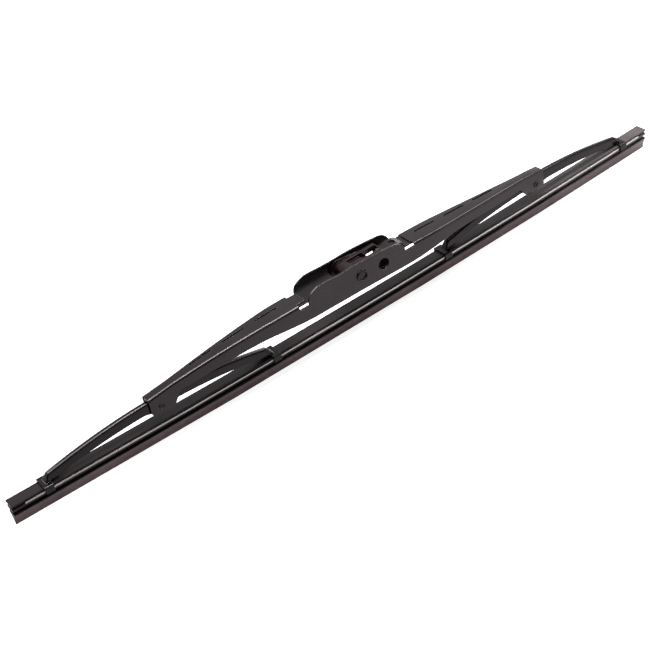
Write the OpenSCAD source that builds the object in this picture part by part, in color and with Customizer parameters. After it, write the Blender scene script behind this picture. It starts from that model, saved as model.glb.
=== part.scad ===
// Conventional wiper blade: a pressed steel bridge carries two rocking yokes,
// whose claws hold a bowed rubber and its two spring-steel strips.
// Millimetres. X runs along the blade, Z away from the glass. The origin is the
// middle of the wiping lip.

/* [Rubber] */
// Length of the rubber from end to end
blade_len = 400; // [380:2:440]
// Radius of the bow that the free blade keeps, its ends lifting off the glass
bow_radius = 6000; // [4000:250:20000]
// Height of the wedge from the lip to its shoulder
wedge_h = 6.2; // [5:0.1:8]
// Height of the shoulder that lies against the ridge when the wedge leans
shoulder_h = 1.0; // [0.6:0.1:1.6]
// Height of the thin neck that the wedge tips about
neck_h = 1.3; // [1:0.1:2]
// Height of the ridge under the steel strips
ridge_h = 2.2; // [1.6:0.1:3]
// Height of the flat head over the steel strips
head_h = 1.0; // [0.6:0.1:1.5]
// Half the width of the head
head_half_w = 3.35; // [2.8:0.05:3.6]
// Half the width of the ridge and the shoulder
ridge_half_w = 2.85; // [2.4:0.05:2.9]
// Half the thickness of the neck
neck_half_w = 0.6; // [0.4:0.05:1]
// Half the width of the web between the two strip grooves
web_half_w = 1.0; // [0.8:0.05:1.4]
// Half the thickness of the wiping lip
lip_half_w = 0.35; // [0.2:0.05:0.6]

/* [Steel strips] */
// Length of each strip
strip_len = 387.4; // [370:0.2:395]
// Width of each strip
strip_w = 2.8; // [2.4:0.1:3.4]
// Thickness of each strip
strip_t = 0.9; // [0.6:0.05:1.2]
// Play between a strip and its groove
strip_play = 0.05; // [0.02:0.01:0.1]

/* [Yokes] */
// Distance of each yoke's pivot from the middle of the blade
pivot_x = 118; // [112:0.5:124]
// Height of the pivots above the flat head of the rubber
pivot_rise = 9.3; // [8.5:0.1:12]
// Distance from a yoke's pivot to each of its claws
yoke_reach = 63.3; // [58:0.1:68]
// Thickness of the yoke's steel sheet
yoke_sheet = 0.8; // [0.6:0.05:1]
// Half the outer width of a yoke's arms
arm_half_w = 1.75; // [1.6:0.05:1.9]
// Outer radius of the bends along a yoke's arms
arm_bend = 1.3; // [1.1:0.05:1.5]
// Height of a yoke's crown above its pivot
crown_h = 4.1; // [3.6:0.1:4.4]
// Fall of the arms from the crown to where they turn down to the claws
arm_fall = 6.9; // [6:0.1:7.6]
// Depth of the arm's flanges beside the pivot
arm_depth = 5.6; // [4.6:0.1:6]
// Depth to which the arm's flanges narrow on the way to a claw
waist_depth = 4.2; // [3:0.1:4.4]
// How far the flanges flare down again beside a claw
tip_flare = 1.0; // [0:0.1:1.4]
// Length of each claw along the blade
claw_len = 4.5; // [3.5:0.1:6]
// Play between a claw and what it holds
claw_play = 0.15; // [0.1:0.01:0.2]
// How far the tips of a claw reach under the strips
claw_grip = 0.85; // [0.5:0.05:0.95]

/* [Bridge] */
// Thickness of the bridge's steel sheet
bridge_sheet = 0.9; // [0.7:0.05:1.1]
// Outer radius of the bends along the bridge
bridge_bend = 1.5; // [1.2:0.1:2]
// Half the outer width of the bridge at its cheeks
mid_half_w = 6.8; // [6.6:0.1:7.4]
// Half the outer width of the bridge at its feet
foot_half_w = 3.3; // [3.3:0.05:3.8]
// Distance from a pivot to the end of the bridge
foot_past = 5.7; // [4.5:0.1:8]
// Distance from a pivot to the inner edge of the foot
foot_before = 7.7; // [5:0.1:10]
// Depth of the feet below the pivots
foot_depth = 3.0; // [2.5:0.1:3.4]
// Height of the bridge's back above the pivots, beside the window
back_rise = 11.5; // [10.5:0.1:14]
// How much higher the back stands half way to the left foot
left_lift = 0.8; // [0:0.1:1]
// How much lower the back lies half way to the right foot
right_drop = 1.7; // [0:0.1:2]
// Height of the bridge's back above the pivots, at its ends
end_rise = 6.3; // [6.1:0.1:8]
// Height of the lower edge above the pivots, under the cheeks
belly_rise = 1.1; // [0.5:0.1:2]
// Height of the lower edge above the pivots, where it arches highest
arch_rise = 3.7; // [2.5:0.1:4.5]
// Left end of the window in the back
window_left = 32.7; // [30:0.1:34]
// Right end of the window in the back
window_right = 33.1; // [30:0.1:36]
// Length of the relief notch beside each cheek's ends
notch_len = 5.2; // [4:0.5:7]
// Depth of the relief notches below the back
notch_depth = 2.2; // [1.6:0.1:3]
// How far the relief notches reach in from each side
notch_in = 2.7; // [2:0.1:3]
// Width of the slots pressed through the back
slot_w = 1.2; // [0.8:0.1:2]
// Length of the slots
slot_len = 13; // [8:0.1:14]
// Number of slots on each side of the window
slot_count = 3; // [1:1:3]
// Distance from the window's left end to the centre of the first slot on the left
slot_first = 19.5; // [17:0.1:21]
// Distance from the window's right end to the centre of the first slot on the right
slot_first_right = 13.4; // [12:0.1:15]
// Distance from one slot to the next
slot_pitch = 19.5; // [17:0.5:20.5]
// How far the slots lie behind the middle of the back
slot_back = 1.6; // [0:0.1:2]

/* [Arm connection] */
// Radius of the centre pin that carries the hook adapter
pin_r = 2.5; // [2:0.1:2.8]
// Height of the centre pin above the pivots
pin_rise = 9.2; // [8.6:0.1:10]
// Radius of the centre pin's heads
pin_head_r = 3.4; // [3:0.1:4]
// Height of the centre pin's heads
pin_head_h = 0.8; // [0.5:0.1:1.2]
// Radius of the bore for the side pin of a wiper arm, a quarter inch across
side_bore_r = 3.2; // [2.4:0.05:3.3]
// Distance of the side bore from the centre pin, along the blade
side_bore_x = 13.5; // [13:0.1:15]
// Drop of the side bore below the centre pin
side_bore_drop = 0.6; // [0:0.1:1]
// Half the width of the arm's hook
hook_half_w = 4.5; // [4.3:0.05:4.8]
// Distance of the adapter's nose, where the arm's hook seats, from the centre pin
nose_x = 5.2; // [4:0.1:6]
// Height of the nose's centre above the centre pin
nose_rise = 1.9; // [1:0.1:2.2]
// Radius of the nose that the arm's hook wraps around
nose_r = 3.9; // [3.5:0.1:4.2]
// How far the adapter's ears stand out around the nose
ear_rim = 1.3; // [0.8:0.1:1.5]
// Thickness of the adapter's ears
ear_t = 0.95; // [0.6:0.05:1.1]
// Length of the adapter's block from the pin
block_len = 17; // [16:0.5:19]
// Length of the adapter's tail from the pin
tail_len = 29; // [27:0.5:29.5]
// Height of the tail above the pin
tail_rise = 3.7; // [3.5:0.1:4.2]
// Half the width of the adapter's tail
tail_half_w = 3.8; // [3:0.1:4.2]
// Distance of the tail's hole from the pin
tail_hole_x = 24.3; // [22:0.1:25]
// Radius of the round hole in the tail
tail_hole_r = 1.9; // [1:0.1:2.2]
// Half the width of the opening in the adapter's roof
roof_gap_half_w = 2.3; // [1.5:0.1:3]
// Length of the adapter's lower leg from the pin
leg_len = 26; // [20:0.5:28]

/* [Pivot joints] */
// Radius of the pivot rivets
rivet_r = 1.25; // [1:0.05:1.4]
// Radius of the pivot rivets' heads
rivet_head_r = 1.6; // [1.5:0.05:2.2]
// Height of the pivot rivets' heads
rivet_head_h = 0.4; // [0.3:0.05:0.7]
// Radial play of a moving bore on its pin
bore_play = 0.05; // [0.02:0.01:0.1]
// Thickness of the nylon liners
liner_t = 0.45; // [0.3:0.05:0.5]
// Play between a liner and the steel around it
liner_play = 0.05; // [0.02:0.01:0.1]

/* [Hidden] */

$fn = 64;
far = 100;
eps = 0.2;

// Levels of the rubber, from the lip at zero upwards
shoulder_z = wedge_h + shoulder_h;
ridge_z = shoulder_z + neck_h;
groove_z = ridge_z + ridge_h;
groove_h = strip_t + 2 * strip_play;
head_z = groove_z + groove_h;
rubber_z = head_z + head_h;
strip_in = web_half_w + 0.1;
strip_out = strip_in + strip_w;

// Levels of the steelwork
pivot_z = rubber_z + pivot_rise;
foot_z = pivot_z - foot_depth;
back_z = pivot_z + back_rise;
end_z = pivot_z + end_rise;
belly_z = pivot_z + belly_rise;
arch_z = pivot_z + arch_rise;
sill_z = back_z - bridge_sheet;
pin_z = pivot_z + pin_rise;
bridge_end = pivot_x + foot_past;
foot_in = pivot_x - foot_before;
crease_x = foot_in - 1;
back_from = pivot_x * 0.34;
taper_from = pivot_x * 0.42;
arch_from = pivot_x * 0.24;
arch_to = pivot_x * 0.53;
dip_from = pivot_x * 0.57;
bend_steps = 5;

// Outline of a cheek: place along the blade, height above the sill of the window
slit = 0.4;
notch_left = back_z - notch_depth + sway(-window_left);
notch_right = back_z - notch_depth + 0.4 * sway(window_right);
cheek_left = slit - window_left;
cheek_right = window_right - notch_len - 0.7;
CHEEK = [[cheek_left, 0.6], [cheek_left + 0.6, 2.7], [cheek_left + 2, 4.4],
    [cheek_left + 5.2, 6.1], [cheek_left + 9.3, 6.7], [-12, 6.2], [2, 6.3], [12, 5.8],
    [19, 5.2], [cheek_right - 4, 4.5], [cheek_right - 1.2, 2.3], [cheek_right, 0]];
cheek_high = 6.9;

// The rubber's bow: how far its lip rises at a place along the blade
function bow(x) = bow_radius - sqrt(bow_radius * bow_radius - x * x);
function slope(x) = asin(x / bow_radius);
function clip01(v) = min(1, max(0, v));
function ease(a, b, v) = let (t = clip01((v - a) / (b - a))) t * t * (3 - 2 * t);
function mix(a, b, t) = a + (b - a) * t;
function arc(c, r, a0, a1, n) =
    [for (i = [0:n]) let (a = mix(a0, a1, i / n)) [c[0] + r * cos(a), c[1] + r * sin(a)]];

// A smooth curve through the points p, n steps to each span
function spline_at(a, b, c, d, t) =
    0.5 * (2 * b + (c - a) * t + (2 * a - 5 * b + 4 * c - d) * t * t
    + (3 * b - a - 3 * c + d) * t * t * t);
function spline(p, n) = let (m = len(p) - 1) concat(
    [for (i = [0:m - 1]) for (k = [0:n - 1])
        spline_at(p[max(i - 1, 0)], p[i], p[i + 1], p[min(i + 2, m)], k / n)],
    [p[m]]);

// Cross-section of a pressed channel, open below: half width, top, bottom, bend, sheet
function channel(w, top, low, bend, sheet) = concat(
    [[-w, low]],
    arc([bend - w, top - bend], bend, 180, 90, bend_steps),
    arc([w - bend, top - bend], bend, 90, 0, bend_steps),
    [[w, low], [w - sheet, low]],
    arc([w - bend, top - bend], bend - sheet, 0, 90, bend_steps),
    arc([bend - w, top - bend], bend - sheet, 90, 180, bend_steps),
    [[sheet - w, low]]);

// A skin over cross-sections [x, outline], all with as many points, whose second half
// runs back along the inside of the first
module loft(sections) {
    n = len(sections[0][1]);
    m = len(sections);
    points = [for (s = sections) for (p = s[1]) [s[0], p[0], p[1]]];
    sides = [for (i = [0:m - 2]) for (k = [0:n - 1]) for (f = [0, 1])
        let (a = i * n + k, b = i * n + (k + 1) % n)
        f == 0 ? [a, b, b + n] : [a, b + n, a + n]];
    last = (m - 1) * n;
    caps = [for (k = [0:n / 2 - 2]) for (f = [0, last])
        let (q = [f + k, f + k + 1, f + n - 2 - k, f + n - 1 - k])
        f == 0 ? [q[3], q[2], q[1], q[0]] : q];
    polyhedron(points, concat(sides, caps));
}

// Puts a shape drawn in x and z across the blade, w to each side
module across(w) {
    rotate([90, 0, 0]) linear_extrude(height = 2 * w, center = true) children();
}

// A round bar along Y
module bar(r, w) {
    rotate([90, 0, 0]) cylinder(r = r, h = 2 * w, center = true);
}

// Sweeps a section drawn as [across, height] along the bowed blade
module along_bow(length) {
    turn = slope(length / 2);
    translate([0, 0, bow_radius]) rotate([90, 0, 0]) rotate(-90 - turn)
        rotate_extrude(angle = 2 * turn, $fn = 2880)
            translate([bow_radius, 0]) mirror([1, 0]) rotate(-90) children();
}

// A place on the bowed blade
module on_blade(x) {
    translate([x, 0, bow(x)]) rotate([0, -slope(x), 0]) children();
}

// How far the pressing stands above or below an even arch, at a place along it
function sway(x) = (x < 0 ? left_lift : -right_drop) * sin(180 * min(1, abs(x) / pivot_x));

// Half width, back and lower edge of the bridge at a place along it
function bridge_w(x) =
    mix(mid_half_w, foot_half_w, clip01((abs(x) - taper_from) / (crease_x - taper_from)));
function bridge_top(x) = let (t = clip01((abs(x) - back_from) / (bridge_end - back_from)))
    mix(back_z, end_z, pow(t, 1.6)) + sway(x);
function bridge_low(x) = mix(belly_z, arch_z, ease(arch_from, arch_to, abs(x)))
    - 1.2 * ease(dip_from, foot_in - 5, abs(x)) + 0.7 * sway(x);

// Section of the bridge at x, its back at the height top
function bridge_section(x, top) =
    [x, channel(bridge_w(x), top, foot_z - 1, bridge_bend, bridge_sheet)];

// Places of the sections from a foot to the window's end
function bridge_places(window) = concat(
    [for (i = [0:1]) mix(bridge_end, crease_x, i / 2)],
    [for (i = [0:12]) mix(crease_x, window, i / 12)]);

// The bent sheet before it is trimmed: over the window its back stands clear of the cheeks
module bridge_sheet_metal() {
    clear_z = sill_z + cheek_high + 4;
    left = [for (x = bridge_places(window_left - eps)) bridge_section(-x, bridge_top(-x))];
    middle = [bridge_section(2 * eps - window_left, clear_z),
        bridge_section(window_right - 2 * eps, clear_z)];
    places = bridge_places(window_right - eps);
    right = [for (i = [len(places) - 1:-1:0])
        bridge_section(places[i], bridge_top(places[i]))];
    loft(concat(left, middle, right));
}

// What is trimmed off above the cheeks, with a slit down to the notches at each end
module above_cheeks() {
    line = [for (p = spline(CHEEK, 5)) [p[0], sill_z + max(p[1], 0)]];
    across(far) polygon(concat([[-window_left, notch_left - 0.1],
        [cheek_left, notch_left - 0.1]], line, [[window_right - slit, sill_z],
        [window_right - slit, notch_right - 0.1], [window_right, notch_right - 0.1],
        [window_right, far], [-window_left, far]]));
}

// Relief notches through both bends, from x0 to x1 and down to z
module notches(x0, x1, z) {
    for (side = [-1, 1]) translate([x0, side * mid_half_w - notch_in, z])
        cube([x1 - x0, 2 * notch_in, far]);
}

// The lower edge on one side of the pin, from the middle to the end of the foot
function lower_edge(side) = let (root = bridge_low(side * (foot_in - 5))) concat(
    [for (x = [0:3:foot_in - 6]) [x, bridge_low(side * x)]],
    arc([foot_in - 5, root - 3.5], 3.5, 90, 10, 6),
    [[foot_in, foot_z + 0.6], [foot_in + 0.6, foot_z],
    [bridge_end - 0.9, foot_z], [bridge_end + 1, foot_z + 1.9]]);

// What is trimmed off below the flanges
module below_flanges(side) {
    across(far) polygon(concat(lower_edge(side), [[bridge_end + 1, -far], [0, -far]]));
}

// One slot through the back
module back_slot() {
    run = slot_len / 2 - slot_w / 2;
    for (x = [-run, run]) translate([x, slot_back, 0]) cylinder(d = slot_w, h = far);
    translate([-run, slot_back - slot_w / 2, 0]) cube([2 * run, slot_w, far]);
}

// The back's stepped tongue, which the adapter's tail comes down in front of
module tongue() {
    top = bridge_top(window_right) - bridge_sheet + 0.1;
    w = mid_half_w - notch_in - 0.1;
    translate([tail_len + 0.6, -w, top - bridge_sheet])
        cube([window_right - tail_len + 0.9, 2 * w, bridge_sheet]);
}

module main_bridge() {
    color([0.20, 0.19, 0.20]) {
        pressed_bridge();
        tongue();
    }
}

module pressed_bridge() {
    difference() {
        bridge_sheet_metal();
        above_cheeks();
        notches(-window_left - notch_len, eps - window_left, notch_left);
        notches(cheek_right + eps, window_right + slit, notch_right);
        for (side = [-1, 1]) mirror([side < 0 ? 1 : 0, 0, 0]) {
            below_flanges(side);
            translate([pivot_x, 0, pivot_z]) bar(rivet_r, far);
        }
        for (i = [0:slot_count - 1]) {
            left = slot_first + i * slot_pitch;
            right = slot_first_right + i * slot_pitch;
            translate([-window_left - left, 0, pivot_z]) back_slot();
            translate([window_right + right, 0, pivot_z]) back_slot();
        }
        translate([0, 0, pin_z]) bar(pin_r, far);
        translate([side_bore_x, 0, pin_z - side_bore_drop]) bar(side_bore_r, far);
    }
}

// A rivet across the blade: shaft, low chamfered heads, each with a sunk face
module rivet(r, head_r, head_h, reach) {
    top = reach + head_h;
    edge = head_h / 2;
    dish_r = head_r * 0.7;
    half = [[0, 0], [r, 0], [r, reach], [head_r, reach], [head_r, top - edge],
        [head_r - edge, top], [dish_r, top], [dish_r - 0.1, reach], [0, reach]];
    for (side = [0, 1]) mirror([0, side, 0])
        rotate([-90, 0, 0]) rotate_extrude() polygon(half);
}

module centre_pin() {
    color([0.24, 0.23, 0.24]) translate([0, 0, pin_z])
        rivet(pin_r, pin_head_r, pin_head_h, mid_half_w);
}

module pivot_rivet(side) {
    color([0.28, 0.27, 0.28]) translate([side * pivot_x, 0, pivot_z])
        rivet(rivet_r, rivet_head_r, rivet_head_h, foot_half_w);
}

// Nylon liner that keeps a yoke from rattling in the bridge's foot
module pivot_liner(side) {
    w = foot_half_w - bridge_sheet - liner_play;
    top = end_z - bridge_sheet - 0.2 - pivot_z;
    low = 0.6 - foot_depth;
    back = foot_past - 0.5;
    front = foot_before - 1.2;
    color([0.86, 0.85, 0.82]) translate([side * pivot_x, 0, pivot_z])
        mirror([side < 0 ? 1 : 0, 0, 0]) difference() {
            translate([-front, -w, low]) cube([front + back, 2 * w, top - low]);
            translate([-far, liner_t - w, -far]) cube([2 * far, 2 * (w - liner_t), far + top - liner_t]);
            bar(rivet_r + liner_play, far);
        }
}

// Shape of a yoke's arm at the distance d from its pivot
arm_run = yoke_reach - 3.4;
arm_end = yoke_reach + 0.5;
saddle_top = rubber_z + claw_play + yoke_sheet + bow(pivot_x) - pivot_z
    + yoke_reach * yoke_reach / (2 * bow_radius);
function arm_top(d) = let (s = min(d, arm_run) / arm_run)
    mix(crown_h - arm_fall * pow(s, 1.9), saddle_top - 0.1, ease(arm_run, arm_end, d));
function arm_low(d) = let (s = clip01(d / arm_run),
    depth = mix(arm_depth, waist_depth, pow(s, 1.3)) + tip_flare * ease(0.8, 1, s),
    flange = max(arm_top(min(d, arm_run)) - depth, saddle_top - yoke_sheet + 0.1))
    mix(-foot_depth + 0.4, flange, ease(5, 9, d));
function arm_w(d) = mix(arm_half_w, arm_half_w * 1.5, ease(arm_run, arm_end, d));

// Sections along one yoke from claw to claw
function arm_places() = concat([for (i = [0:5]) i * 1.9],
    [for (i = [1:9]) mix(9.5, arm_run, i / 9)],
    [for (i = [1:5]) mix(arm_run, arm_end, i / 5)]);
function arm_section(x) = let (d = abs(x), top = arm_top(d), low = arm_low(d),
    bend = min(arm_bend, max(top - low - 0.05, 0.3)))
    [x, channel(arm_w(d), top, min(low, top - yoke_sheet), bend, min(yoke_sheet, bend - 0.05))];

module yoke_arms() {
    half = arm_places();
    n = len(half);
    loft([for (i = [1 - n:n - 1]) arm_section(sign(i) * half[abs(i)])]);
}

// A claw's section: over the rubber's head, down past the strips and in under them
module claw() {
    s = yoke_sheet;
    in_w = strip_out + claw_play;
    in_top = rubber_z + claw_play;
    tip_top = groove_z + strip_play - claw_play;
    tip_y = strip_out - claw_grip;
    outer = arc([in_w, in_top], s, 0, 90, 6);
    half = concat([[tip_y, tip_top - s], [in_w + s - 0.3, tip_top - s], [in_w + s, tip_top - s + 0.3]],
        outer);
    inner = [[in_w, in_top], [in_w, tip_top], [tip_y, tip_top]];
    flip = [for (i = [len(half) - 1:-1:0]) [-half[i][0], half[i][1]]];
    flop = [for (i = [len(inner) - 1:-1:0]) [-inner[i][0], inner[i][1]]];
    rotate([90, 0, 90]) linear_extrude(height = claw_len, center = true)
        polygon(concat(half, flip, flop, inner));
}

module yoke(side) {
    color([0.18, 0.17, 0.18]) {
        difference() {
            translate([side * pivot_x, 0, pivot_z]) rotate([0, -side * slope(pivot_x), 0])
                yoke_arms();
            translate([side * pivot_x, 0, pivot_z]) bar(rivet_r + bore_play, far);
        }
        for (end = [-1, 1]) on_blade(side * pivot_x + end * yoke_reach) claw();
    }
}

// Hook adapter: a block on the centre pin with a round nose between two ears, a sprung
// tail above the side bore and a leg below it
module hook_adapter() {
    out = hook_half_w + ear_t;
    boss_r = pin_r + 1.6;
    roof = nose_rise + nose_r;
    roof_low = side_bore_r - side_bore_drop + 0.3;
    leg_top = -side_bore_drop - side_bore_r - 0.3;
    leg_t = 2;
    root = side_bore_x - side_bore_r - 0.6;
    tail_t = 1.2;
    bend = 7;
    bend_at = [tail_len - bend * cos(55), tail_rise - bend];
    block = [[-nose_x, roof], [block_len - 0.8, roof], [block_len, roof - 0.8],
        [block_len, roof_low], [root, roof_low], [root, leg_top], [leg_len, leg_top],
        [leg_len + 0.6, leg_top - 0.6], [leg_len, leg_top - leg_t],
        [root - 0.8, leg_top - leg_t], [root - 0.8, 0.1 - boss_r], [0, 0.1 - boss_r],
        [-nose_x, nose_rise - nose_r + 0.1]];
    tail = concat([[block_len - 1, tail_rise]], arc(bend_at, bend, 90, 55, 8),
        arc(bend_at, bend - tail_t, 55, 90, 8), [[block_len - 1, tail_rise - tail_t]]);
    rim = nose_r + ear_rim;
    ear = concat(arc([-nose_x, nose_rise], rim, 270, 75, 20),
        [[root - 1, roof - 0.2], [root - 1, 0.1 - boss_r], [0, 0.1 - boss_r]]);
    color([0.07, 0.05, 0.05]) translate([0, 0, pin_z]) difference() {
        union() {
            bar(boss_r, out);
            translate([-nose_x, 0, nose_rise]) bar(nose_r, out);
            across(hook_half_w) polygon(block);
            across(tail_half_w) polygon(tail);
            for (side = [-1, 1]) translate([0, side * (hook_half_w + ear_t / 2), 0])
                across(ear_t / 2) polygon(ear);
        }
        bar(pin_r + bore_play, far);
        translate([root - 4, -roof_gap_half_w, roof_low])
            cube([block_len - 1.5 - root + 4, 2 * roof_gap_half_w, far]);
        translate([tail_hole_x, 0, 0]) cylinder(r = tail_hole_r, h = far);
        translate([-2, -roof_gap_half_w, roof - 1.3]) cube([root - 1, 2 * roof_gap_half_w, far]);
    }
}

// Half of the rubber's outline, from the lip up, as [across, height]
function rubber_half() = let (r = ridge_half_w) [
    [lip_half_w, 0], [lip_half_w + 0.05, wedge_h * 0.16], [lip_half_w + 0.5, wedge_h * 0.45],
    [lip_half_w + 1.25, wedge_h * 0.75], [r - 0.35, wedge_h], [r, wedge_h + shoulder_h * 0.45],
    [r - 0.25, shoulder_z], [neck_half_w + 0.2, shoulder_z + 0.15], [neck_half_w, shoulder_z + 0.4],
    [neck_half_w, ridge_z - 0.4], [neck_half_w + 0.2, ridge_z - 0.15], [r - 0.5, ridge_z],
    [r, ridge_z + ridge_h * 0.35], [r, groove_z - 0.6], [r - 0.5, groove_z], [web_half_w, groove_z],
    [web_half_w, head_z], [head_half_w - 0.1, head_z], [head_half_w, head_z + 0.15],
    [head_half_w, rubber_z - 0.15], [head_half_w - 0.15, rubber_z]];

module wiping_rubber() {
    right = rubber_half();
    left = [for (i = [len(right) - 1:-1:0]) [-right[i][0], right[i][1]]];
    color([0.10, 0.08, 0.08]) along_bow(blade_len) polygon(concat(right, left));
}

// A spring-steel strip in one of the rubber's grooves
module steel_strip(side) {
    color([0.80, 0.80, 0.82]) along_bow(strip_len)
        translate([side > 0 ? strip_in : -strip_out, groove_z + strip_play])
            square([strip_w, strip_t]);
}

main_bridge();
centre_pin();
hook_adapter();
yoke(-1);  // yoke_left
yoke(1);  // yoke_right
pivot_rivet(-1);  // pivot_rivet_left
pivot_rivet(1);  // pivot_rivet_right
pivot_liner(-1);  // pivot_liner_left
pivot_liner(1);  // pivot_liner_right
wiping_rubber();
steel_strip(-1);  // steel_strip_front
steel_strip(1);  // steel_strip_rear
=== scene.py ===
# %% [markdown]
# # A wiper blade in a small white studio
# The blade's solids come ready made from the CAD model. This notebook dresses them: it
# rolls the sharp edges of the pressed sheet, rounds the moulded parts, and gives every
# piece a finish of its own. Lengths are metres, +X runs along the blade, +Z points away
# from the glass, and the origin is the middle of the wiping lip.

# %% Load the frame
import math

import bpy
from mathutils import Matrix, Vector


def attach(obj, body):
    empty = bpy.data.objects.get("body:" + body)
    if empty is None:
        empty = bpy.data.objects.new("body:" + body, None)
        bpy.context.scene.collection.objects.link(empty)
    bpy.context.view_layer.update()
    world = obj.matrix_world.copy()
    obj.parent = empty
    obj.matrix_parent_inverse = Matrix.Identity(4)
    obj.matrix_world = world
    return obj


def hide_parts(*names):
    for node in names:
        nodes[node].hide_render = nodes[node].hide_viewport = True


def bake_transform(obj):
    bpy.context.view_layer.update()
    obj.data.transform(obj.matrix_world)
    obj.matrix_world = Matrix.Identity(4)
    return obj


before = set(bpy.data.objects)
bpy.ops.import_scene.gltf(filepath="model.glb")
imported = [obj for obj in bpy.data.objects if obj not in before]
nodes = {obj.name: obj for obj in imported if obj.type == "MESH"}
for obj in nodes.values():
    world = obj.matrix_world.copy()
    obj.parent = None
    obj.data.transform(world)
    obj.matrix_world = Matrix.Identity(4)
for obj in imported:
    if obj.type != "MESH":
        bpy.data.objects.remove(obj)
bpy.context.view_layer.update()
print("loaded", len(nodes), "solids")

MM = 0.001

# %% [markdown]
# ## Camera
# The place, the turn and the lens were fitted to points of the blade that can be found in
# the photograph: the rubber's ends, the claws, the rivets and the bore in the cheek. A long
# lens from a good half metre away gives the same mild perspective.

# %% Set the camera
bpy.ops.object.select_all(action="DESELECT")
bpy.ops.object.camera_add(
    location=(-0.29913, -0.50031, 0.42954),
    rotation=(0.926342, 0.179560, -0.638184),
)
camera = bpy.context.object
camera.name = "studio_camera"
camera.data.sensor_width = 36.0
camera.data.lens = 79.354
camera.data.clip_start = 0.01
camera.data.clip_end = 20.0
bpy.context.scene.camera = camera
print("camera at", [round(v, 3) for v in camera.location])

# %% [markdown]
# ## Light
# Dark satin paint shows little of its own colour. What the eye reads on it is the room, so
# the lamps are large and soft: one over the right half, which draws the bright line along
# the bends and lets the left end fall darker, one low behind, which fills the flat back,
# and a weak one in front of the right end.

# %% Hang the softboxes
def softbox(name, place, target, width, height, power):
    bpy.ops.object.light_add(type="AREA", location=place)
    lamp = bpy.context.object
    lamp.name = name
    lamp.data.shape = "RECTANGLE"
    lamp.data.size = width
    lamp.data.size_y = height
    lamp.data.energy = power
    lamp.rotation_euler = (Vector(target) - Vector(place)).to_track_quat("-Z", "Y").to_euler()


MIDDLE, RIGHT_END, FLOOR_BELOW = (0.0, 0.0, 0.02), (0.17, 0.0, 0.02), (0.36, 0.02, 0.0)
softbox("softbox_over", (0.36, 0.02, 0.78), FLOOR_BELOW, width=0.84, height=0.26, power=12.5)
softbox("softbox_back", (0.45, 1.15, 0.38), MIDDLE, width=1.6, height=0.3, power=5.0)
softbox("softbox_right", (0.55, -0.45, 0.24), RIGHT_END, width=0.34, height=0.24, power=0.9)

# %% [markdown]
# ## Writing a material as sums
# A material is a graph of nodes. Written as Python expressions it stays readable: a Wire
# is one output of a node, and adding or multiplying wires adds the Math node for it. The
# Graph makes any other node from its type, its settings and the values of its sockets.
# Colours are written as red, green and blue in linear light.

# %% A wire and a graph
class Wire:
    def __init__(self, graph, socket):
        self.graph, self.socket = graph, socket

    def math(self, operation, *others):
        return self.graph.node("Math", {"operation": operation}, self, *others)

    def __add__(self, other):
        return self.math("ADD", other)

    def __mul__(self, other):
        return self.math("MULTIPLY", other)

    def __sub__(self, other):
        return self.math("SUBTRACT", other)

    def __rsub__(self, other):
        return self.graph.node("Math", {"operation": "SUBTRACT"}, other, self)

    __radd__ = __add__
    __rmul__ = __mul__

    def __getitem__(self, name):
        """Another output of the same node, such as the X of a separated place."""
        return Wire(self.graph, self.socket.node.outputs[name])

    def ramp(self, low, high):
        """0 below low, 1 above high, smooth between."""
        return self.graph.node("MapRange", {"interpolation_type": "SMOOTHSTEP"}, self, low, high)


class Graph:
    def __init__(self, tree):
        self.tree = tree
        tree.nodes.clear()

    def node(self, kind, settings=None, *values, out=0, **named):
        made = self.tree.nodes.new("ShaderNode" + kind)
        for key, value in (settings or {}).items():
            setattr(made, key, value)
        for key, value in list(enumerate(values)) + list(named.items()):
            if isinstance(key, str):
                key = key.replace("_", " ")
            if isinstance(value, Wire):
                self.tree.links.new(value.socket, made.inputs[key])
            else:
                made.inputs[key].default_value = value
        return Wire(self, made.outputs[out]) if len(made.outputs) else made

    def place(self, scale=(1, 1, 1), turn=(0, 0, 0)):
        """Object coordinates in metres, stretched by scale."""
        coordinates = self.node("TexCoord", out="Object")
        return self.node("Mapping", {}, coordinates, (0, 0, 0), turn, scale)

    def spread(self, place):
        """The X, Y and Z of a place or a direction."""
        parts = self.node("SeparateXYZ", {}, place)
        return parts["X"], parts["Y"], parts["Z"]

    def noise(self, place, scale, detail=3.0, roughness=0.5):
        return self.node("TexNoise", {}, Vector=place, Scale=scale, Detail=detail,
                         Roughness=roughness, out="Fac")

    def blend(self, factor, first, second):
        made = self.tree.nodes.new("ShaderNodeMix")
        made.data_type = "RGBA"
        ends = (made.inputs[0], factor), (made.inputs[6], first), (made.inputs[7], second)
        for socket, value in ends:
            if isinstance(value, Wire):
                self.tree.links.new(value.socket, socket)
            else:
                socket.default_value = value
        return Wire(self, made.outputs[2])

    def relief(self, height, depth):
        """A bump of this depth in metres."""
        return self.node("Bump", {}, 1.0, depth, Height=height)

    def mirrored_ray(self):
        """1 for a ray that a gloss or a glass sent, and 0 for any other."""
        glossy = self.node("LightPath", out="Is Glossy Ray")
        return glossy.math("MAXIMUM", self.node("LightPath", out="Is Transmission Ray"))


def rgb(red, green, blue):
    return (red, green, blue, 1.0)


def new_material(name):
    material = bpy.data.materials.new(name)
    material.use_nodes = True
    return material, Graph(material.node_tree)


def finish_material(graph, **sockets):
    shader = graph.node("BsdfPrincipled", {}, **sockets)
    graph.node("OutputMaterial", {}, shader)


print("material tools ready")

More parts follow.
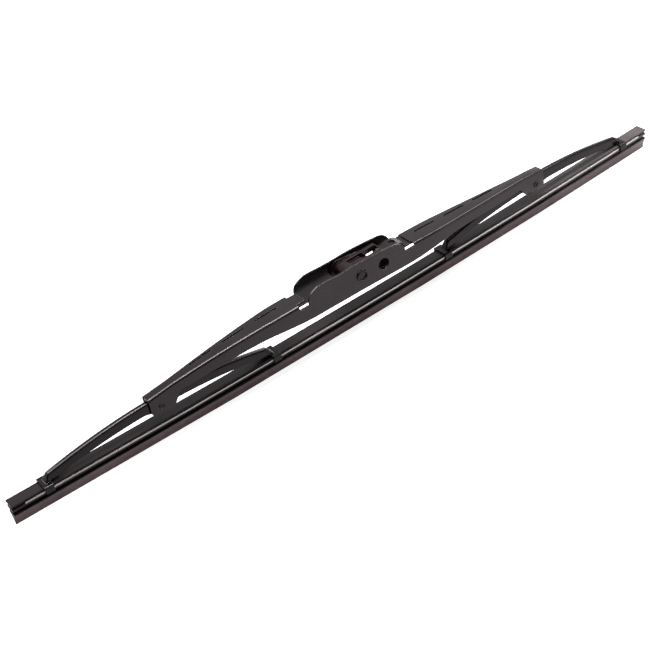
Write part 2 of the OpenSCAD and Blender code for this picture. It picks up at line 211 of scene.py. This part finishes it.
# %% [markdown]
# ## Floor and world
# The photograph has a plain white ground. The floor is a pale matt plane that takes the
# blade's soft shadow, and it glows for the camera, and a little for reflections, so that it
# comes out white without more light on the blade. The world is plain white for the camera.
# In reflections it is white behind the blade and dark in front, where a real studio has its
# dark room, so that each bend shows a dark band beside its bright line. As plain light on
# the pieces the world is dim.

# %% Lay the floor
WHITE = rgb(1.0, 1.0, 1.0)
GLOW_FOR_CAMERA, GLOW_FOR_MIRRORS = 0.75, 0.15

bpy.ops.mesh.primitive_plane_add(size=12.0, location=(0.0, 0.0, 0.0))
floor = bpy.context.object
floor.name = "studio_floor"

material, g = new_material("floor_white")
seen = GLOW_FOR_CAMERA * g.node("LightPath", out="Is Camera Ray")
seen = seen + GLOW_FOR_MIRRORS * g.mirrored_ray()
matt = g.node("BsdfDiffuse", {}, rgb(0.86, 0.86, 0.86), 0.0)
glow = g.node("Emission", {}, WHITE, seen)
g.node("OutputMaterial", {}, g.node("AddShader", {}, matt, glow))
floor.data.materials.append(material)
print("floor laid")

# %% Paint the world
DARK_ROOM, PALE_WALL, FILL_LIGHT = 0.10, 0.95, 0.26

world = bpy.data.worlds.new("studio_world")
bpy.context.scene.world = world
world.use_nodes = True
g = Graph(world.node_tree)
camera_ray = g.node("LightPath", out="Is Camera Ray")
mirrored = g.mirrored_ray()
across = g.spread(g.node("TexCoord", out="Generated"))[1]
room = DARK_ROOM + (PALE_WALL - DARK_ROOM) * across.ramp(-0.05, 0.45)
level = camera_ray + (1 - camera_ray) * (mirrored * room + (1 - mirrored) * FILL_LIGHT)
g.node("OutputWorld", {}, g.node("Background", {}, WHITE, level))
bpy.context.scene.view_settings.view_transform = "Standard"
print("the world is white for the camera")

# %% [markdown]
# ## Dressing a solid
# The CAD solids have razor edges and loose triangles. A real pressing has burred or rolled
# edges that catch the light as a thin line. So each solid is copied, its triangles are
# welded, flat areas are made one face again, and a small bevel rounds what is sharp.
# Weighted normals keep the big faces flat beside the rounding. The copy stands for the
# solid, which stays hidden for the moving model.
#
# The rubber and the strips are bendy, and the claws of both yokes hold them. A piece can
# bend between two bodies only, so each is cut at the middle of the blade, with rings of
# edges between the inner claw and the middle.

# %% Cut a bendy piece at the middle
BEND_FROM, BEND_TO = 51.0 * MM, 3.0 * MM
RING_STEP = 4.0 * MM
BEND_RINGS = [BEND_TO + RING_STEP * step for step in range(13)]


def cut_to_side(side):
    """Keep one side of the middle plane, closed there, with rings where it has to bend."""
    for ring in BEND_RINGS:
        bpy.ops.mesh.select_all(action="SELECT")
        bpy.ops.mesh.bisect(plane_co=(side * ring, 0.0, 0.0), plane_no=(1.0, 0.0, 0.0))
    bpy.ops.mesh.select_all(action="SELECT")
    bpy.ops.mesh.bisect(plane_co=(0.0, 0.0, 0.0), plane_no=(1.0, 0.0, 0.0), use_fill=True,
                        clear_inner=side > 0, clear_outer=side < 0)


print(len(BEND_RINGS), "rings for each half")

# %% A dressed copy of a solid
WELD = 0.002 * MM
FLAT_ANGLE, SHARP_ANGLE = math.radians(0.6), math.radians(32.0)


def dressed(node_name, name, corner, segments=2, side=0):
    """Copy a solid and round its corners by this much; side -1 or 1 keeps one half."""
    bpy.ops.object.select_all(action="DESELECT")
    source = nodes[node_name]
    piece = bpy.data.objects.new(name, source.data.copy())
    piece.data.materials.clear()
    bpy.context.scene.collection.objects.link(piece)
    piece.select_set(True)
    bpy.context.view_layer.objects.active = piece
    bpy.ops.object.mode_set(mode="EDIT")
    bpy.ops.mesh.select_all(action="SELECT")
    bpy.ops.mesh.remove_doubles(threshold=WELD)
    bpy.ops.mesh.dissolve_limited(angle_limit=FLAT_ANGLE)
    bpy.ops.object.mode_set(mode="OBJECT")
    rounding = piece.modifiers.new("rounding", "BEVEL")
    rounding.width = corner
    rounding.segments = segments
    rounding.limit_method = "ANGLE"
    rounding.angle_limit = SHARP_ANGLE
    rounding.use_clamp_overlap = False
    rounding.miter_outer = "MITER_ARC"
    bpy.ops.object.modifier_apply(modifier="rounding")
    if side:
        bpy.ops.object.mode_set(mode="EDIT")
        cut_to_side(side)
        bpy.ops.object.mode_set(mode="OBJECT")
    bpy.ops.object.shade_smooth_by_angle(angle=SHARP_ANGLE)
    piece.modifiers.new("steady", "WEIGHTED_NORMAL").keep_sharp = True
    bpy.ops.object.modifier_apply(modifier="steady")
    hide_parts(node_name)
    return piece


print("ready to dress", len(nodes), "solids")

# %% Hand a piece over to its body
def finish_piece(piece, material):
    piece.data.materials.append(material)


def hand_over(piece, body, material):
    finish_piece(piece, material)
    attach(piece, body)
    print(piece.name, "rides on", body, "with", len(piece.data.polygons), "faces")


def hand_over_bent(piece, material):
    """The claws hold this end. The piece gets its material and keeps its place in its mesh."""
    finish_piece(piece, material)
    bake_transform(piece)



# %% [markdown]
# ## Satin black paint
# Stoving paint on pressed steel is dark grey rather than black, with a fine orange peel, a
# slow drift in tone from dipping and a few hair scratches along the blade. Convex edges
# lose a little paint, so the pointed parts of the mesh turn paler. The photograph shows a
# bright line along the bends of the left half only. The lamps alone draw it too thin, so a
# paler tone on the upper part of each bend is a painted highlight that widens it. The walls
# of the three slots on each side of the back carry painted shade and are nearly black, so
# that the slots read as openings. What the paint, the plastic and the rubber reflect has a
# warm tint, as in the photograph.

# %% Paint for the steelwork
WARM = rgb(1.0, 0.86, 0.90)
SLOT_MIDDLE, SLOT_HALF_WIDTH = 1.6 * MM, 0.75 * MM


def satin_paint(name, dark, pale, base_rough, gloss, slots=False):
    """A paint from its two tones, its base roughness and how strongly it reflects."""
    material, g = new_material(name)
    space = g.place()
    drift = g.noise(space, 38.0, 2.0)
    peel = g.noise(space, 1500.0, 2.0, 0.45)
    grit = g.noise(space, 5200.0, 1.0)
    lengthways = g.place((40.0, 3000.0, 3000.0), (0.0, 0.02, 0.03))
    scratch = g.noise(lengthways, 1.0, 2.0).ramp(0.66, 0.72)
    edge = g.node("NewGeometry", out="Pointiness").ramp(0.54, 0.64)
    rubbed = edge * g.noise(space, 260.0, 3.0).ramp(0.35, 0.6)
    along, across, _ = g.spread(space)
    facing_up = g.spread(g.node("NewGeometry", out="Normal"))[2].math("ABSOLUTE")
    shoulder = facing_up.ramp(0.72, 0.86) * (1 - facing_up.ramp(0.965, 0.990))
    # Painted highlight: a paler tone on the upper part of each bend, on the left half only.
    bend_painted_highlight = shoulder * (1 - along.ramp(0.0, 0.05)) * (0.6 + 0.4 * drift)
    tone = g.blend(drift.ramp(0.35, 0.7), dark, pale)
    tone = g.blend(scratch * 0.2, tone, rgb(0.08, 0.078, 0.078))
    tone = g.blend(rubbed * 0.22, tone, rgb(0.12, 0.117, 0.115))
    tone = g.blend(bend_painted_highlight, tone, rgb(0.21, 0.190, 0.197))
    rough = base_rough + 0.10 * drift + 0.06 * grit - 0.06 * scratch
    if slots:
        # Painted shade: the walls of the slots are made nearly black and rough.
        aside = (across - SLOT_MIDDLE).math("ABSOLUTE")
        slot_painted_shade = 1 - aside.ramp(SLOT_HALF_WIDTH, 1.2 * SLOT_HALF_WIDTH)
        slot_painted_shade = slot_painted_shade * (1 - facing_up.ramp(0.4, 0.6))
        tone = g.blend(slot_painted_shade, tone, rgb(0.001, 0.001, 0.001))
        rough = rough + 0.7 * slot_painted_shade
    relief = g.relief(peel + 0.3 * grit, 0.012 * MM)
    finish_material(g, Base_Color=tone, Roughness=rough, Normal=relief,
                    Specular_IOR_Level=gloss, Specular_Tint=WARM)
    return material


bridge_paint = satin_paint("bridge_paint", rgb(0.0075, 0.0055, 0.0060),
                           rgb(0.0115, 0.0085, 0.0090),
                           base_rough=0.12, gloss=0.27, slots=True)
yoke_paint = satin_paint("yoke_paint", rgb(0.0040, 0.0030, 0.0034),
                         rgb(0.0060, 0.0045, 0.0048), base_rough=0.11, gloss=0.18)
print("two paints mixed")

# %% Dress the bridge and the yokes
SIDES = {"left": -1, "right": 1}

bridge = dressed("main_bridge", "bridge_pressing", 0.16 * MM)
hand_over(bridge, "bridge", bridge_paint)
for word in SIDES:
    yoke = dressed("yoke_" + word, "yoke_pressing_" + word, 0.14 * MM)
    hand_over(yoke, word + "_yoke", yoke_paint)

# %% [markdown]
# ## Pin and rivets
# The heads are painted with the frame. In the photograph they look duller and darker than
# the sheet around them, apart from their rims, so their paint is darker and a little
# rougher.

# %% Dress the pin and the rivets
HEAD_DARK, HEAD_PALE = rgb(0.0040, 0.0030, 0.0034), rgb(0.0080, 0.0060, 0.0064)

pin_paint = satin_paint("pin_paint", HEAD_DARK, HEAD_PALE, base_rough=0.16, gloss=0.20)
pin = dressed("centre_pin", "centre_pin_turned", 0.08 * MM, segments=3)
hand_over(pin, "bridge", pin_paint)
rivet_paint = satin_paint("rivet_paint", HEAD_DARK, HEAD_PALE, base_rough=0.16, gloss=0.20)
for word in SIDES:
    rivet = dressed("pivot_rivet_" + word, "pivot_rivet_upset_" + word, 0.05 * MM, segments=3)
    hand_over(rivet, "bridge", rivet_paint)

# %% [markdown]
# ## Moulded plastic
# The adapter is a glossy moulding of very dark brown plastic, and the liners are thin
# natural nylon. Both have a faint flow pattern from the mould.

# %% Plastics
def moulded(name, dark, pale, base_rough, gloss):
    """A plastic from its two tones, its base roughness and how strongly it reflects."""
    material, g = new_material(name)
    space = g.place()
    flow = g.noise(space, 90.0, 4.0, 0.6)
    fine = g.noise(space, 2600.0, 2.0)
    tone = g.blend(flow.ramp(0.3, 0.7), dark, pale)
    relief = g.relief(fine + 0.6 * flow, 0.006 * MM)
    finish_material(g, Base_Color=tone, Roughness=base_rough + 0.12 * flow + 0.05 * fine,
                    Normal=relief, Specular_IOR_Level=gloss, Specular_Tint=WARM)
    return material


adapter_plastic = moulded("adapter_plastic", rgb(0.007, 0.0035, 0.0035),
                          rgb(0.013, 0.0065, 0.0065), base_rough=0.10, gloss=0.22)
nylon = moulded("liner_nylon", rgb(0.62, 0.61, 0.56), rgb(0.72, 0.71, 0.66),
                base_rough=0.42, gloss=0.4)
print("plastics mixed")

# %% Dress the adapter and the liners
adapter = dressed("hook_adapter", "adapter_moulding", 0.25 * MM, segments=3)
hand_over(adapter, "adapter", adapter_plastic)
for word in SIDES:
    liner = dressed("pivot_liner_" + word, "liner_moulding_" + word, 0.06 * MM)
    hand_over(liner, "bridge", nylon)

# %% [markdown]
# ## Rubber
# The rubber is extruded and then cut, so its flanks carry fine lines along the blade. Its
# head is black. The photograph shows the wiping wedge a shade paler and browner, so the
# wedge has a tone of its own. A paler grey towards the right end is painted light, where
# the lamps fall on that end. The blade is bowed on a circle of 6 m, so the height over the
# lip takes that bow off before the wedge is told apart.

# %% Mix the rubber
BOW_RADIUS = 6.0
WEDGE_TOP, SHOULDER = 6.0 * MM, 6.8 * MM

wiper_rubber, g = new_material("wiper_rubber")
space = g.place()
lines = g.noise(g.place((6.0, 2400.0, 2400.0)), 1.0, 3.0, 0.6)
streak = g.noise(g.place((2.0, 700.0, 700.0)), 1.0, 2.0)
bloom = g.noise(space, 60.0, 4.0, 0.6).ramp(0.35, 0.75)
speck = g.noise(space, 3000.0, 2.0)
head_tone = g.blend(bloom, rgb(0.008, 0.0062, 0.0064), rgb(0.014, 0.0108, 0.0112))
wedge_tone = g.blend(bloom, rgb(0.090, 0.062, 0.065), rgb(0.128, 0.092, 0.096))
along, _, up = g.spread(space)
above_lip = up - along * along * (1 / (2 * BOW_RADIUS))
tone = g.blend(above_lip.ramp(WEDGE_TOP, SHOULDER), wedge_tone, head_tone)
tone = g.blend(streak.ramp(0.45, 0.7) * 0.4, tone, rgb(0.030, 0.020, 0.020))
# Painted light: the rubber turns paler and greyer towards the right end.
rubber_painted_light_right = along.ramp(0.02, 0.20) * (0.35 + 0.25 * bloom)
tone = g.blend(rubber_painted_light_right, tone, rgb(0.150, 0.132, 0.134))
relief = g.relief(lines + 0.4 * speck, 0.014 * MM)
finish_material(g, Base_Color=tone, Roughness=0.40 + 0.12 * bloom + 0.08 * lines,
                Normal=relief, Specular_IOR_Level=0.15, Specular_Tint=WARM)
print("rubber mixed")

# %% Dress the rubber
for word, side in SIDES.items():
    rubber = dressed("wiping_rubber", "rubber_extrusion_" + word, 0.06 * MM, side=side)
    hand_over_bent(rubber, wiper_rubber)

# %% [markdown]
# ## Spring steel
# The strips are slit from polished stock: bright metal with a brushed grain along the
# blade, and edges that throw the studio's white straight at the camera. Towards the left
# end they are painted darker, as painted shade where less light falls.

# %% Mix the steel
strip_steel, g = new_material("strip_steel")
grain = g.noise(g.place((14.0, 5200.0, 5200.0)), 1.0, 3.0, 0.6)
cloud = g.noise(g.place(), 45.0, 3.0)
# Painted shade: the strips turn darker towards the left end.
strip_painted_shade_left = 1 - g.spread(g.place())[0].ramp(-0.16, 0.16)
tone = g.blend(grain.ramp(0.3, 0.7), rgb(0.27, 0.25, 0.25), rgb(0.46, 0.43, 0.43))
tone = g.blend(0.6 * strip_painted_shade_left, tone, rgb(0.16, 0.14, 0.14))
relief = g.relief(grain, 0.008 * MM)
finish_material(g, Base_Color=tone, Metallic=1.0, Normal=relief,
                Roughness=0.22 + 0.12 * grain + 0.08 * cloud)
print("steel mixed")

# %% Dress the strips
for place in ("front", "rear"):
    for word, side in SIDES.items():
        name = "spring_strip_" + place + "_" + word
        strip = dressed("steel_strip_" + place, name, 0.08 * MM, side=side)
        hand_over_bent(strip, strip_steel)
